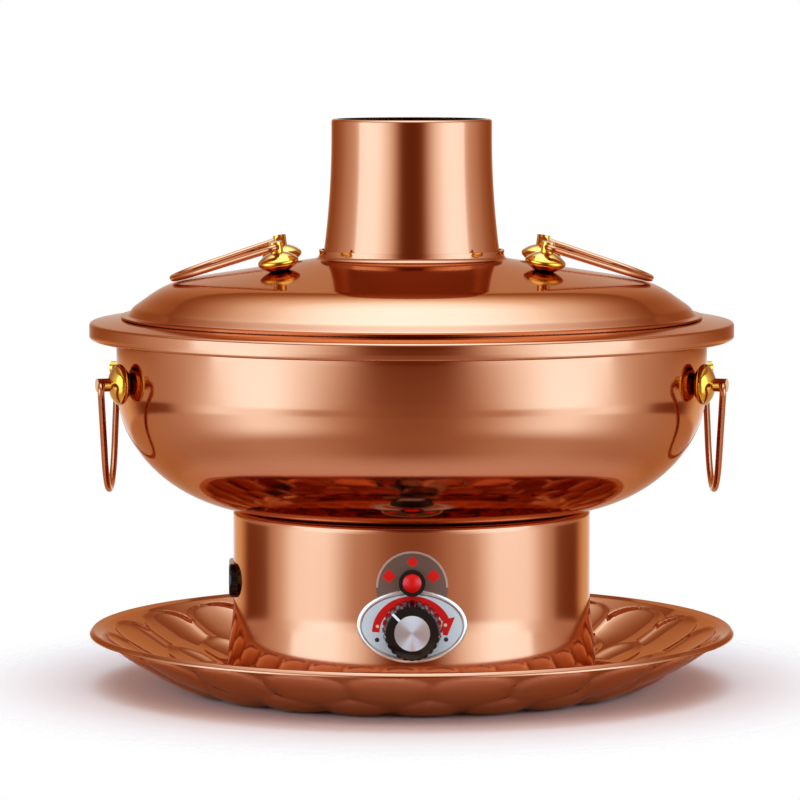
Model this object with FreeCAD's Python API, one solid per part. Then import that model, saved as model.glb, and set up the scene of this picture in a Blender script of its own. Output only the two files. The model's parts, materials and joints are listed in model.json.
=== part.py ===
import FreeCAD, Part
import math
import os

# Chimney hot pot. The bowl, the chimney and the drum under them are one unit, which stands in
# a drip tray. A ring-shaped lid sits on the bowl's flange and lifts off over the chimney.
# Millimetres. Origin at the centre of the tray's underside, +Z up, controls towards -Y.

# ---------------------------------------------------------------- driving dimensions

# drip tray
TRAY_RIM_R = 160.8
TRAY_BRIM_W = 5.8           # nearly level brim, in from the rim
TRAY_WALL_W = 24.0          # steeper part of the wall, in from the brim
TRAY_APRON_W = 25.5         # flatter part of the wall, in to the floor
TRAY_APRON_RISE = 11.0
TRAY_HEIGHT = 28.1
TRAY_BRIM_RISE = 2.0
TRAY_LIP = 2.6
TRAY_FLOOR_BEND_R = 30.0
TRAY_WAIST_BEND_R = 90.0
TRAY_BRIM_BEND_R = 3.0
TRAY_EDGE_R = 1.4
TRAY_SHEET = 1.2

# drum
DRUM_R = 89.0
DRUM_FLARE_W = 3.0          # how far the foot stands out
DRUM_FOOT_Z = 4.6
FLARE_LOW_Z = 16.5
FLARE_H = 19.0
DRUM_SHEET = 1.0
DRUM_EDGE_R = 3.0
DRUM_SEAT_R = 66.0          # inner edge of the turned-in top

# bowl
BOWL_FLOOR_Z = 88.5
BOWL_FLAT_R = 78.6
BOWL_R = 146.6
BOWL_SHEET = 1.5
BOWL_BELLY_H = 61.5         # oval part of the side
BOWL_WALL_H = 24.5          # upright part of the side
NECK_H = 3.5
NECK_IN = 3.4               # how far the mouth is drawn in
CREST_H = 5.3               # top of the flange over the neck
FLANGE_W = 18.3
FLANGE_CREST_R = 1.8
FLANGE_FALL = 7.5           # degrees
FLANGE_EDGE_R = 1.7
FLANGE_LIP_H = 10.3

# chimney
CHIMNEY_TOP_R = 39.8
CHIMNEY_FOOT_R = 57.4
CHIMNEY_FOOT_H = 54.5       # from the bowl's underside to where the flare would start
CHIMNEY_FLARE_H = 86.6
CHIMNEY_STACK_H = 51.9
CHIMNEY_SHEET = 1.5
CHIMNEY_EDGE_R = 1.4
CHIMNEY_LIP_IN = 2.8
CHIMNEY_FOOT_W = 5.0
CHIMNEY_FOOT_LAP = 5.4      # bowl's floor under the chimney's foot
BASE_PLATE_T = 1.2
BASE_PLATE_GAP = 0.3

# lid
LID_SHEET = 0.9
LID_LAP = 2.7               # lid's edge past the bowl's mouth
LID_GAP = 0.3
BRIM_W = 3.4
BRIM_RISE = 0.4
SHOULDER_W = 3.0
SHOULDER_RISE = 3.7
DOME_W = 16.5
DOME_RISE = 11.6
LID_NECK_RISE = 12.3
LID_NECK_UP = 3.2
LID_BRIM_BEND_R = 1.5
LID_SHOULDER_BEND_R = 8.0
LID_CROWN_BEND_R = 16.0
LID_NECK_BEND_R = 3.0
COLLAR_GAP = 0.26           # round the chimney, at the collar's lower edge
COLLAR_SHEET = 0.5
COLLAR_DROP = 3.6
COLLAR_BEAD_W = 1.6
COLLAR_BEAD_H = 1.0
RING_SHEET = 1.0
RING_GAP = 0.8
RING_H = 6.5

# balls and bails
BALL_R = 10.0
STUD_NECK_R = 3.25
STUD_TOP = 2.6              # neck past the centre of its cross hole
BALL_SINK = 0.8             # ball bedded in the face that it sits on
WIRE_R = 1.65
PIN_GAP = 0.075             # radial, pin in its cross hole
SIDE_GAP = 0.3              # wire beside a neck
BEND_R = 3.0
PEEN_R = 2.0
PEEN_T = 0.8

BOWL_BALL_T = 10.2
BOWL_BALL_HOLE = 13.5
BOWL_BALL_UP = 3.6          # above the foot of the bowl's upright wall
BOWL_BALL_ANGLE = 20.0      # either side of the X axis
BOWL_BAIL_DEPTH = 56.0
BOWL_BAIL_TIP_R = 48.0

LID_BALL_T = 9.6
LID_BALL_HOLE = 11.8
LID_BALL_X = 64.7
LID_BALL_Y = 34.0
LID_BAIL_DEPTH = 55.0
LID_BAIL_TIP_R = 34.0
LID_BAIL_REST_GAP = 0.3

# control panel
KNOB_Z = 39.0
KNOB_R = 14.45
KNOB_DEPTH = 13.0
KNOB_TAPER = 1.2
KNOB_EDGE_R = 1.0
KNOB_FLUTES = 24
KNOB_FLUTE_R = 1.1
KNOB_FLUTE_OUT = 0.5        # axis of a flute outside the knob's edge
KNOB_GAP = 0.8
KNOB_RECESS_R = 9.5
KNOB_RECESS_D = 3.4
INSERT_R = 8.5
INSERT_T = 1.2
PLATE_UP = 1.4              # above the knob's middle
PLATE_W = 53.0
PLATE_H = 35.0
PLATE_T = 1.0
LABEL_UP = 20.3
LABEL_R = 17.3
LABEL_T = 0.4
LAMP_UP = 22.4
BEZEL_R = 6.4
BEZEL_T = 3.4
LENS_R = 4.5
LENS_DOME = 1.6
LAMP_BODY_R = 4.0
LAMP_BODY_L = 19.0

# thermostat
SHAFT_R = 3.0
SHAFT_GAP = 0.06
BUSH_R = 4.7
BUSH_GAP = 0.2
BUSH_STAND = 2.2
BUSH_ROOT = 1.0             # bush let into the housing
NUT_AF = 13.0
NUT_T = 1.9
THERMO_W = 30.0
THERMO_H = 30.0
THERMO_D = 26.0
THERMO_GAP = 2.6            # behind the drum's wall
SHAFT_INNER = 6.0
SHAFT_END_GAP = 0.4

# heating parts
HEATER_W = 11.0             # ring inside the drum's seat
HEATER_RIM_W = 7.5          # rim under the drum's seat
HEATER_T = 6.0
HEATER_RIM_T = 4.0
ELEMENT_IN = 5.0            # from the seat's edge to the tube's middle
ELEMENT_W = 7.0
ELEMENT_H = 6.0
ELEMENT_SWEEP = 320.0
COLD_PIN_R = 2.4
COLD_PIN_L = 22.0
COLD_PIN_GAP = 1.4
PAN_DEPTH = 17.0
PAN_SHEET = 0.8
PAN_LAP = 1.0               # inside the heating ring
STUD_R = 2.0
STUD_OUT = 3.8              # from the seat's edge
STUD_ANGLES = (90, 210, 330)
STUD_END_Z = 2.0
NUT_M4_AF = 7.0
NUT_M4_T = 2.6
BULB_R = 2.4
BULB_L = 24.0
BULB_OUT = 2.6              # from the seat's edge
FUSE_R = 2.2
FUSE_L = 14.0

# bottom cover and feet
COVER_T = 1.0
COVER_RIM = 6.0
COVER_GAP = 0.1
FOOT_R = 8.0
FOOT_TAPER = 1.0
FOOT_IN = 18.0              # in from the drum's foot
FOOT_ANGLES = (45, 135, 225, 315)
SLOTS = 12
SLOT_W = 4.0
SLOT_L = 18.0
SLOT_CIRCLE_R = 40.0
BLOCK_SIZE = (34.0, 14.0, 12.0)
BLOCK_PLACE = (12.0, 18.0)

# power inlet
INLET_Z = 53.0
INLET_TURN = 2.0            # degrees from -X towards the front
INLET_W = 39.0
INLET_H = 17.0
INLET_PROUD = 2.2
INLET_EDGE_R = 1.4
INLET_MOUTH_W = 27.0
INLET_MOUTH_H = 9.6
INLET_MOUTH_D = 17.0
INLET_BODY_W = 31.0
INLET_BODY_H = 13.0
INLET_BODY_D = 21.0
PIN_R = 2.0
PIN_SPACING = 9.0
PIN_SET_BACK = 6.0
PIN_TAIL = 5.0

# ---------------------------------------------------------------- derived places

DRUM_FOOT_R = DRUM_R + DRUM_FLARE_W
FLARE_HIGH_Z = FLARE_LOW_Z + FLARE_H
BOWL_WALL_Z = BOWL_FLOOR_Z + BOWL_BELLY_H
NECK_LOW_Z = BOWL_WALL_Z + BOWL_WALL_H
NECK_HIGH_Z = NECK_LOW_Z + NECK_H
FLANGE_CREST_Z = NECK_HIGH_Z + CREST_H
MOUTH_R = BOWL_R - BOWL_SHEET - NECK_IN
CHIMNEY_FLARE_FOOT_Z = BOWL_FLOOR_Z + CHIMNEY_FOOT_H
CHIMNEY_FLARE_TOP_Z = CHIMNEY_FLARE_FOOT_Z + CHIMNEY_FLARE_H
CHIMNEY_TOP_Z = CHIMNEY_FLARE_TOP_Z + CHIMNEY_STACK_H
LID_EDGE_Z = FLANGE_CREST_Z + LID_GAP + LID_SHEET
PLATE_Z = KNOB_Z + PLATE_UP
LABEL_Z = KNOB_Z + LABEL_UP
LAMP_Z = KNOB_Z + LAMP_UP
THERMO_FRONT = DRUM_R - DRUM_SHEET - THERMO_GAP
HEATER_IN_R = DRUM_SEAT_R - HEATER_W
HEATER_RIM_R = DRUM_SEAT_R + HEATER_RIM_W
ELEMENT_R = DRUM_SEAT_R - ELEMENT_IN

# ---------------------------------------------------------------- helpers

V = FreeCAD.Vector
ORIGIN = V(0, 0, 0)
UP = V(0, 0, 1)
FRONT = V(0, -1, 0)
BIG = 400.0
TINY = 1e-6


def corner_path(corners):
    """Wire in the r-z plane through (r, z, radius) corners, each rounded by a tangent arc."""
    points = [V(r, 0, z) for r, z, radius in corners]
    edges = []
    last = points[0]
    for i in range(1, len(points) - 1):
        before = (points[i - 1] - points[i]).normalize()
        after = (points[i + 1] - points[i]).normalize()
        half = before.getAngle(after) / 2
        back = corners[i][2] / math.tan(half)
        start = points[i] + before * back
        end = points[i] + after * back
        inward = (before + after).normalize()
        middle = points[i] + inward * (corners[i][2] / math.sin(half) - corners[i][2])
        if last.distanceToPoint(start) > TINY:
            edges.append(Part.LineSegment(last, start).toShape())
        if back > TINY:
            edges.append(Part.Arc(start, middle, end).toShape())
        last = end
    if last.distanceToPoint(points[-1]) > TINY:
        edges.append(Part.LineSegment(last, points[-1]).toShape())
    return Part.Wire(edges)


def spun(face):
    """Turn a face in the r-z plane once round the Z axis."""
    return face.revolve(ORIGIN, UP, 360)


def beside(corners, distance):
    """Corners of the line that runs beside a corner path, to its left where distance is above 0."""
    points = [V(r, 0, z) for r, z, radius in corners]
    runs = [(end - start).normalize() for start, end in zip(points, points[1:])]
    left = [V(-run.z, 0, run.x) for run in runs]
    moved = [points[0] + left[0] * distance]
    radii = [0]
    for i in range(1, len(runs)):
        share = distance / (1 + left[i - 1].dot(left[i]))
        moved.append(points[i] + (left[i - 1] + left[i]) * share)
        turn = math.copysign(1, left[i - 1].dot(runs[i]))
        radii.append(max(0.0, corners[i][2] - turn * distance))
    moved.append(points[-1] + left[-1] * distance)
    radii.append(0)
    return [(point.x, point.z, radius) for point, radius in zip(moved, radii)]


def spun_sheet(corners, thickness):
    """Spun sheet between a corner path and the line beside it, thickness away."""
    back = beside(corners, thickness)
    near, far = corner_path(corners), corner_path(back)
    ends = [Part.LineSegment(V(corners[i][0], 0, corners[i][1]), V(back[i][0], 0, back[i][1])).toShape()
            for i in (-1, 0)]
    return spun(Part.Face(Part.Wire(near.Edges + ends[:1] + far.Edges[::-1] + ends[1:])))


def spun_block(corners):
    """Solid of revolution with a closed outline of (r, z) corners."""
    points = [V(r, 0, z) for r, z in corners]
    return spun(Part.Face(Part.makePolygon(points + points[:1])))


def half_segment_radius(start, corner, end):
    """Radius of the arc at a corner that reaches half way along the run from corner to end."""
    before = (V(start[0], 0, start[1]) - V(corner[0], 0, corner[1])).normalize()
    after = V(end[0], 0, end[1]) - V(corner[0], 0, corner[1])
    return after.Length / 2 * math.tan(before.getAngle(after) / 2)


def oval_radii(width, height):
    """Radii of two tangent arcs, 45 degrees each, that make a quarter oval."""
    s = math.sqrt(0.5)
    span = 2 * s - 1
    return (width * s - height * (1 - s)) / span, (height * s - width * (1 - s)) / span


def rod(radius, length, place, direction):
    return Part.makeCylinder(radius, length, place, direction)


def polar(radius, degrees, z=0.0):
    a = math.radians(degrees)
    return V(radius * math.cos(a), radius * math.sin(a), z)


def hexagon(across_flats, thickness, place, direction):
    corner_r = across_flats / math.sqrt(3)
    points = [polar(corner_r, 60 * i) for i in range(7)]
    solid = Part.Face(Part.makePolygon(points)).extrude(UP * thickness)
    solid.Placement = FreeCAD.Placement(place, FreeCAD.Rotation(UP, direction))
    return solid


def stadium(width, height, length, place, direction):
    """Bar with round ends, its width level and its length along direction."""
    r = height / 2
    half = width / 2 - r
    top = Part.LineSegment(V(-half, r, 0), V(half, r, 0)).toShape()
    right = Part.Arc(V(half, r, 0), V(half + r, 0, 0), V(half, -r, 0)).toShape()
    low = Part.LineSegment(V(half, -r, 0), V(-half, -r, 0)).toShape()
    left = Part.Arc(V(-half, -r, 0), V(-half - r, 0, 0), V(-half, r, 0)).toShape()
    solid = Part.Face(Part.Wire([top, right, low, left])).extrude(UP * length)
    level = UP.cross(direction)
    turn = FreeCAD.Rotation(level, UP, direction, "ZXY")
    solid.Placement = FreeCAD.Placement(place, turn)
    return solid


def save(name, *solids):
    shape = solids[0] if len(solids) == 1 else Part.makeCompound(list(solids))
    shape.exportStep("parts/" + name + ".step")


# ---------------------------------------------------------------- drum outline

FLARE_R = half_segment_radius((DRUM_FOOT_R, DRUM_FOOT_Z), (DRUM_FOOT_R, FLARE_LOW_Z),
                              (DRUM_R, FLARE_HIGH_Z))
FLARE_HALF = math.hypot(DRUM_FOOT_R - DRUM_R, FLARE_HIGH_Z - FLARE_LOW_Z) / 2


def drum_radius(z):
    """Outer radius of the drum: upright, then two tangent arcs out to the foot."""
    top = FLARE_HIGH_Z + FLARE_HALF
    low = FLARE_LOW_Z - FLARE_HALF
    middle = (FLARE_HIGH_Z + FLARE_LOW_Z) / 2
    if z >= top:
        return DRUM_R
    if z >= middle:
        return DRUM_R + FLARE_R - math.sqrt(FLARE_R ** 2 - (top - z) ** 2)
    if z >= low:
        return DRUM_FOOT_R - FLARE_R + math.sqrt(FLARE_R ** 2 - (z - low) ** 2)
    return DRUM_FOOT_R


def drum_corners(foot_z, top_z):
    """Corners of the drum's side between two heights."""
    return [
        (DRUM_FOOT_R, foot_z, 0),
        (DRUM_FOOT_R, FLARE_LOW_Z, FLARE_R),
        (DRUM_R, FLARE_HIGH_Z, FLARE_R),
        (DRUM_R, top_z, 0),
    ]


def drum_core(extra):
    """The drum's form as a filled solid, its side moved out by extra."""
    side = corner_path([
        (DRUM_FOOT_R + extra, DRUM_FOOT_Z, 0),
        (DRUM_FOOT_R + extra, FLARE_LOW_Z, FLARE_R + extra),
        (DRUM_R + extra, FLARE_HIGH_Z, FLARE_R - extra),
        (DRUM_R + extra, BOWL_FLOOR_Z, 0),
    ])
    low, top = side.OrderedVertexes[0].Point, side.OrderedVertexes[-1].Point
    inside = Part.makePolygon([top, UP * top.z, UP * low.z, low])
    return spun(Part.Face(Part.Wire(side.Edges + inside.Edges)))


def laid_on_drum(prism, thickness):
    """The part of a prism that lies within thickness of the drum's outer face."""
    return drum_core(thickness).common(prism).cut(drum_core(0))


def inlet_direction():
    return polar(1.0, 180 + INLET_TURN)


def over_arc(radius, slope):
    """How far a corner between a slope and an upright face lies above the top of its arc."""
    return radius * (slope + math.hypot(1, slope) - 1)


# ---------------------------------------------------------------- pieces

def drip_tray():
    """Spun tray: flat floor, rising wall, nearly level brim and a turned-down lip."""
    slope = TRAY_BRIM_RISE / TRAY_BRIM_W
    rim_z = TRAY_HEIGHT + over_arc(TRAY_EDGE_R, slope)
    brim_r = TRAY_RIM_R - TRAY_BRIM_W
    waist_r = brim_r - TRAY_WALL_W
    return spun_sheet([
        (0, TRAY_SHEET, 0),
        (waist_r - TRAY_APRON_W, TRAY_SHEET, TRAY_FLOOR_BEND_R),
        (waist_r, TRAY_SHEET + TRAY_APRON_RISE, TRAY_WAIST_BEND_R),
        (brim_r, rim_z - TRAY_BRIM_RISE, TRAY_BRIM_BEND_R),
        (TRAY_RIM_R, rim_z, TRAY_EDGE_R),
        (TRAY_RIM_R, rim_z - TRAY_LIP, 0),
    ], -TRAY_SHEET)


def bowl():
    """Spun bowl, drawn along its inner face: floor, oval side, drawn-in neck, flange and lip."""
    floor_z = BOWL_FLOOR_Z + BOWL_SHEET
    inner_r = BOWL_R - BOWL_SHEET
    low_r, high_r = oval_radii(inner_r - BOWL_FLAT_R, BOWL_WALL_Z - floor_z)
    bend = math.tan(math.radians(22.5))
    neck_r = half_segment_radius((inner_r, BOWL_WALL_Z), (inner_r, NECK_LOW_Z), (MOUTH_R, NECK_HIGH_Z))
    slope = math.tan(math.radians(FLANGE_FALL))
    crest_z = FLANGE_CREST_Z + over_arc(FLANGE_CREST_R, slope)
    corners = [
        (CHIMNEY_FOOT_R - CHIMNEY_FOOT_LAP, floor_z, 0),
        (BOWL_FLAT_R + bend * low_r, floor_z, low_r),
        (inner_r, BOWL_WALL_Z - bend * high_r, high_r),
        (inner_r, NECK_LOW_Z, neck_r),
        (MOUTH_R, NECK_HIGH_Z, neck_r),
        (MOUTH_R, crest_z, FLANGE_CREST_R),
        (MOUTH_R + FLANGE_W, crest_z - FLANGE_W * slope, FLANGE_EDGE_R),
        (MOUTH_R + FLANGE_W, FLANGE_CREST_Z - FLANGE_LIP_H, 0),
    ]
    return spun_sheet(corners, -BOWL_SHEET)


def chimney_flare():
    """Corners of the chimney's flare and the radius of the two arcs that share it."""
    low = (CHIMNEY_FOOT_R, CHIMNEY_FLARE_FOOT_Z)
    high = (CHIMNEY_TOP_R, CHIMNEY_FLARE_TOP_Z)
    return low, high, half_segment_radius((CHIMNEY_FOOT_R, BOWL_FLOOR_Z), low, high)


def chimney_radius(z):
    """Outer radius of the chimney on the upper arc of its flare and above it."""
    low, high, flare_r = chimney_flare()
    arc_top = high[1] + math.hypot(low[0] - high[0], high[1] - low[1]) / 2
    up = max(0.0, arc_top - z)
    return CHIMNEY_TOP_R + flare_r - math.sqrt(flare_r ** 2 - up ** 2)


def chimney_corners():
    """Corners of the chimney's outer face, from its foot up."""
    foot_z = BOWL_FLOOR_Z + BOWL_SHEET + CHIMNEY_SHEET
    low, high, flare_r = chimney_flare()
    return [
        (CHIMNEY_FOOT_R + CHIMNEY_FOOT_W, foot_z, 0),
        (CHIMNEY_FOOT_R, foot_z, CHIMNEY_EDGE_R),
        (low[0], low[1], flare_r),
        (high[0], high[1], flare_r),
        (CHIMNEY_TOP_R, CHIMNEY_TOP_Z, CHIMNEY_EDGE_R),
        (CHIMNEY_TOP_R - CHIMNEY_LIP_IN, CHIMNEY_TOP_Z, 0),
    ]


def chimney():
    """Spun chimney: foot flange, long S-shaped flare, upright top with its edge turned in."""
    return spun_sheet(chimney_corners(), CHIMNEY_SHEET)


def chimney_base_plate():
    """Disc that closes the chimney's foot, resting on the bowl's floor."""
    r = CHIMNEY_FOOT_R - CHIMNEY_SHEET - BASE_PLATE_GAP
    return Part.makeCylinder(r, BASE_PLATE_T, V(0, 0, BOWL_FLOOR_Z + BOWL_SHEET))


def base_shell():
    """Drum with its top turned in under the bowl's floor, and its holes for the controls."""
    corners = drum_corners(DRUM_FOOT_Z, BOWL_FLOOR_Z)
    corners[-1] = (DRUM_R, BOWL_FLOOR_Z, DRUM_EDGE_R)
    corners.append((DRUM_SEAT_R, BOWL_FLOOR_Z, 0))
    shell = spun_sheet(corners, DRUM_SHEET)
    for hole in panel_holes():
        shell = shell.cut(hole)
    inlet = stadium(INLET_BODY_W + BUSH_GAP, INLET_BODY_H + BUSH_GAP, BIG, V(0, 0, INLET_Z),
                    inlet_direction())
    shell = shell.cut(inlet)
    for stud in stud_rods(STUD_R):
        shell = shell.cut(stud)
    return shell


def panel_holes():
    """Holes through the front of the drum for the thermostat's bush and the lamp."""
    return [
        rod(BUSH_R + BUSH_GAP, BIG, V(0, 0, KNOB_Z), FRONT),
        rod(LAMP_BODY_R + BUSH_GAP, BIG, V(0, 0, LAMP_Z), FRONT),
    ]


def stud_places():
    return [polar(DRUM_SEAT_R + STUD_OUT, angle) for angle in STUD_ANGLES]


def stud_rods(radius):
    """Three long studs from under the bowl's floor to below the bottom cover."""
    return [rod(radius, BOWL_FLOOR_Z - STUD_END_Z, place + UP * STUD_END_Z, UP)
            for place in stud_places()]


def heating_plate():
    """Cast ring, raised inside the drum's seat to touch the bowl, drilled for the studs."""
    seat_z = BOWL_FLOOR_Z - DRUM_SHEET
    rim_z = seat_z - HEATER_RIM_T
    low_z = BOWL_FLOOR_Z - HEATER_T
    step_r = DRUM_SEAT_R - BUSH_GAP
    ring = spun_block([
        (HEATER_IN_R, low_z), (step_r, low_z), (step_r, rim_z), (HEATER_RIM_R, rim_z),
        (HEATER_RIM_R, seat_z), (step_r, seat_z), (step_r, BOWL_FLOOR_Z), (HEATER_IN_R, BOWL_FLOOR_Z),
    ])
    for stud in stud_rods(STUD_R):
        ring = ring.cut(stud)
    return ring


def heating_element():
    """Flattened tube bent to an open ring under the plate, with two cold ends turned down."""
    top_z = BOWL_FLOOR_Z - HEATER_T
    low_z = top_z - ELEMENT_H
    chamfer = ELEMENT_H / 4
    section = [
        (-ELEMENT_W / 2, top_z), (-ELEMENT_W / 2, low_z + chamfer), (-ELEMENT_W / 2 + chamfer, low_z),
        (ELEMENT_W / 2 - chamfer, low_z), (ELEMENT_W / 2, low_z + chamfer), (ELEMENT_W / 2, top_z),
    ]
    points = [V(ELEMENT_R + r, 0, z) for r, z in section]
    ring = Part.Face(Part.makePolygon(points + points[:1])).revolve(ORIGIN, UP, ELEMENT_SWEEP)
    for angle in cold_end_angles():
        ring = ring.fuse(rod(COLD_PIN_R, COLD_PIN_L, polar(ELEMENT_R, angle, low_z + chamfer), -UP))
    ring.rotate(ORIGIN, UP, cold_end_turn())
    return ring


def cold_end_angles():
    inset = math.degrees(COLD_PIN_R / ELEMENT_R) + 1
    return inset, ELEMENT_SWEEP - inset


def cold_end_turn():
    """Turn that puts the element's gap at the back."""
    return 90 + (360 - ELEMENT_SWEEP) / 2


def heat_shield():
    """Spun pan round the element, its rim against the heating plate, clamped by the studs."""
    top_z = BOWL_FLOOR_Z - DRUM_SHEET - HEATER_RIM_T
    pan = spun_sheet([
        (HEATER_IN_R - PAN_LAP, top_z - PAN_DEPTH, 0),
        (HEATER_RIM_R, top_z - PAN_DEPTH, 2 * PAN_SHEET),
        (HEATER_RIM_R, top_z, 0),
    ], PAN_SHEET)
    for stud in stud_rods(STUD_R):
        pan = pan.cut(stud)
    for angle in cold_end_angles():
        place = polar(ELEMENT_R, angle + cold_end_turn(), top_z - 2 * PAN_DEPTH)
        pan = pan.cut(rod(COLD_PIN_R + COLD_PIN_GAP, 2 * PAN_DEPTH, place, UP))
    return pan


def stud_nuts(top_z):
    """A nut with its upper face at top_z on each stud."""
    nuts = []
    for place in stud_places():
        nut = hexagon(NUT_M4_AF, NUT_M4_T, place + UP * (top_z - NUT_M4_T), UP)
        nuts.append(nut.cut(rod(STUD_R, BIG, place, UP)))
    return nuts


def clamped_capsule(radius, length, angle):
    """Level cylinder lying along the heating plate's underside."""
    z = BOWL_FLOOR_Z - DRUM_SHEET - HEATER_RIM_T - radius
    along = polar(1.0, angle + 90)
    return rod(radius, length, polar(DRUM_SEAT_R + BULB_OUT, angle, z) - along * (length / 2), along)


def nut_seat():
    """Distance from the axis of the pot to the back of the thermostat's nut."""
    return drum_radius(KNOB_Z - NUT_AF / 2) + PLATE_T


def thermostat_body():
    """Thermostat housing behind the panel, with the bush that its shaft turns in."""
    housing = Part.makeBox(THERMO_W, THERMO_D, THERMO_H,
                           V(-THERMO_W / 2, -THERMO_FRONT, KNOB_Z - THERMO_H / 2))
    rear = THERMO_FRONT - BUSH_ROOT
    bush = rod(BUSH_R, nut_seat() + BUSH_STAND - rear, V(0, -rear, KNOB_Z), FRONT)
    bore = rod(SHAFT_R + SHAFT_GAP, BIG, V(0, SHAFT_INNER - THERMO_FRONT + SHAFT_END_GAP, KNOB_Z), FRONT)
    return housing.fuse(bush).cut(bore)


def thermostat_nut():
    place = V(0, -nut_seat(), KNOB_Z)
    return hexagon(NUT_AF, NUT_T, place, FRONT).cut(rod(BUSH_R, BIG, V(0, 0, KNOB_Z), FRONT))


def knob_back():
    """Distance from the axis of the pot to the back of the knob."""
    return drum_radius(KNOB_Z - KNOB_R) + PLATE_T + KNOB_GAP


def thermostat_shaft():
    start = THERMO_FRONT - SHAFT_INNER
    end = knob_back() + KNOB_DEPTH - INSERT_T - 2
    return rod(SHAFT_R, end - start, V(0, -start, KNOB_Z), FRONT)


def knob():
    """Moulded knob: fluted skirt, shallow seat for the insert, recess over the nut."""
    back = V(0, -knob_back(), KNOB_Z)
    body = Part.makeCone(KNOB_R, KNOB_R - KNOB_TAPER, KNOB_DEPTH, back, FRONT)
    rim = [edge for edge in body.Edges if abs(edge.CenterOfMass.y - back.y + KNOB_DEPTH) < TINY]
    body = body.makeFillet(KNOB_EDGE_R, rim)
    for i in range(KNOB_FLUTES):
        a = 2 * math.pi * (i + 0.5) / KNOB_FLUTES
        out = V(math.cos(a), 0, math.sin(a))
        foot = back + out * (KNOB_R + KNOB_FLUTE_OUT)
        lean = (FRONT * KNOB_DEPTH - out * KNOB_TAPER).normalize()
        body = body.cut(rod(KNOB_FLUTE_R, 2 * KNOB_DEPTH, foot - lean * (KNOB_DEPTH / 2), lean))
    body = body.cut(rod(INSERT_R, INSERT_T, back + FRONT * (KNOB_DEPTH - INSERT_T), FRONT))
    body = body.cut(rod(KNOB_RECESS_R, KNOB_RECESS_D, back, FRONT))
    return body.cut(thermostat_shaft())


def knob_insert():
    place = V(0, INSERT_T - knob_back() - KNOB_DEPTH, KNOB_Z)
    return rod(INSERT_R, INSERT_T, place, FRONT)


def oval_prism():
    wire = Part.Wire(Part.Ellipse(ORIGIN, PLATE_W / 2, PLATE_H / 2).toShape())
    prism = Part.Face(wire).extrude(UP * BIG)
    prism.Placement = FreeCAD.Placement(V(0, 0, PLATE_Z), FreeCAD.Rotation(V(1, 0, 0), 90))
    return prism


def dial_plate():
    """Oval plate bent round the drum, holed for the bush and notched by the lamp."""
    plate = laid_on_drum(oval_prism(), PLATE_T)
    for hole in panel_holes():
        plate = plate.cut(hole)
    return plate


def indicator_label():
    """Thin round label above the plate, which covers its lower part."""
    disc = rod(LABEL_R, BIG, V(0, 0, LABEL_Z), FRONT)
    label = laid_on_drum(disc, LABEL_T).cut(oval_prism())
    return label.cut(panel_holes()[1])


def lamp_bezel():
    """Ring round the lens, seated on the label and over the plate's edge."""
    place = V(0, -drum_radius(LAMP_Z) - LABEL_T, LAMP_Z)
    ring = rod(BEZEL_R, BEZEL_T - LABEL_T, place, FRONT)
    ring = ring.cut(rod(LENS_R, BIG, V(0, 0, LAMP_Z), FRONT))
    return ring.cut(laid_on_drum(oval_prism(), PLATE_T))


def lamp_lens():
    """Domed lens seated in the bezel, on the end of the lamp body."""
    start = drum_radius(LAMP_Z) + LABEL_T
    stem_end = drum_radius(LAMP_Z) + BEZEL_T
    dome_r = (LENS_R ** 2 + LENS_DOME ** 2) / (2 * LENS_DOME)
    stem = rod(LENS_R, stem_end + 2 * LENS_DOME - start, V(0, -start, LAMP_Z), FRONT)
    lens = stem.common(Part.makeSphere(dome_r, V(0, dome_r - stem_end - LENS_DOME, LAMP_Z)))
    return lens.cut(laid_on_drum(oval_prism(), PLATE_T))


def lamp_body():
    start = drum_radius(LAMP_Z) + LABEL_T
    return rod(LAMP_BODY_R, LAMP_BODY_L, V(0, -start, LAMP_Z), -FRONT)


def inlet_body():
    """Moulded inlet: bezel with round ends on the drum, housing behind it, and its mouth."""
    out = inlet_direction()
    centre = V(0, 0, INLET_Z)
    face = DRUM_R + INLET_PROUD
    bezel = stadium(INLET_W, INLET_H, 2 * INLET_PROUD + DRUM_SHEET, centre, out)
    bezel.translate(out * (face - 2 * INLET_PROUD - DRUM_SHEET))
    rim = [edge for edge in bezel.Edges
           if abs(edge.CenterOfMass.dot(out) - face) < TINY]
    bezel = bezel.makeFillet(INLET_EDGE_R, rim)
    inside = Part.makeCylinder(DRUM_R, BIG, V(0, 0, 0), UP)
    bezel = bezel.cut(inside)
    housing = stadium(INLET_BODY_W, INLET_BODY_H, INLET_BODY_D + INLET_PROUD / 2, centre, out)
    housing.translate(out * (DRUM_R - INLET_BODY_D))
    mouth = stadium(INLET_MOUTH_W, INLET_MOUTH_H, BIG, centre + out * (face - INLET_MOUTH_D), out)
    body = bezel.fuse(housing).removeSplitter().cut(mouth)
    for pin in inlet_pins():
        body = body.cut(pin)
    return body


def inlet_pins():
    """Three round pins on the floor of the inlet's mouth, with tails behind."""
    out = inlet_direction()
    level = UP.cross(out)
    start = DRUM_R - INLET_BODY_D - PIN_TAIL
    end = DRUM_R + INLET_PROUD - PIN_SET_BACK
    return [rod(PIN_R, end - start, out * start + level * (PIN_SPACING * i) + UP * INLET_Z, out)
            for i in (-1, 0, 1)]


def cover_top():
    return DRUM_FOOT_Z + COVER_T


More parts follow.
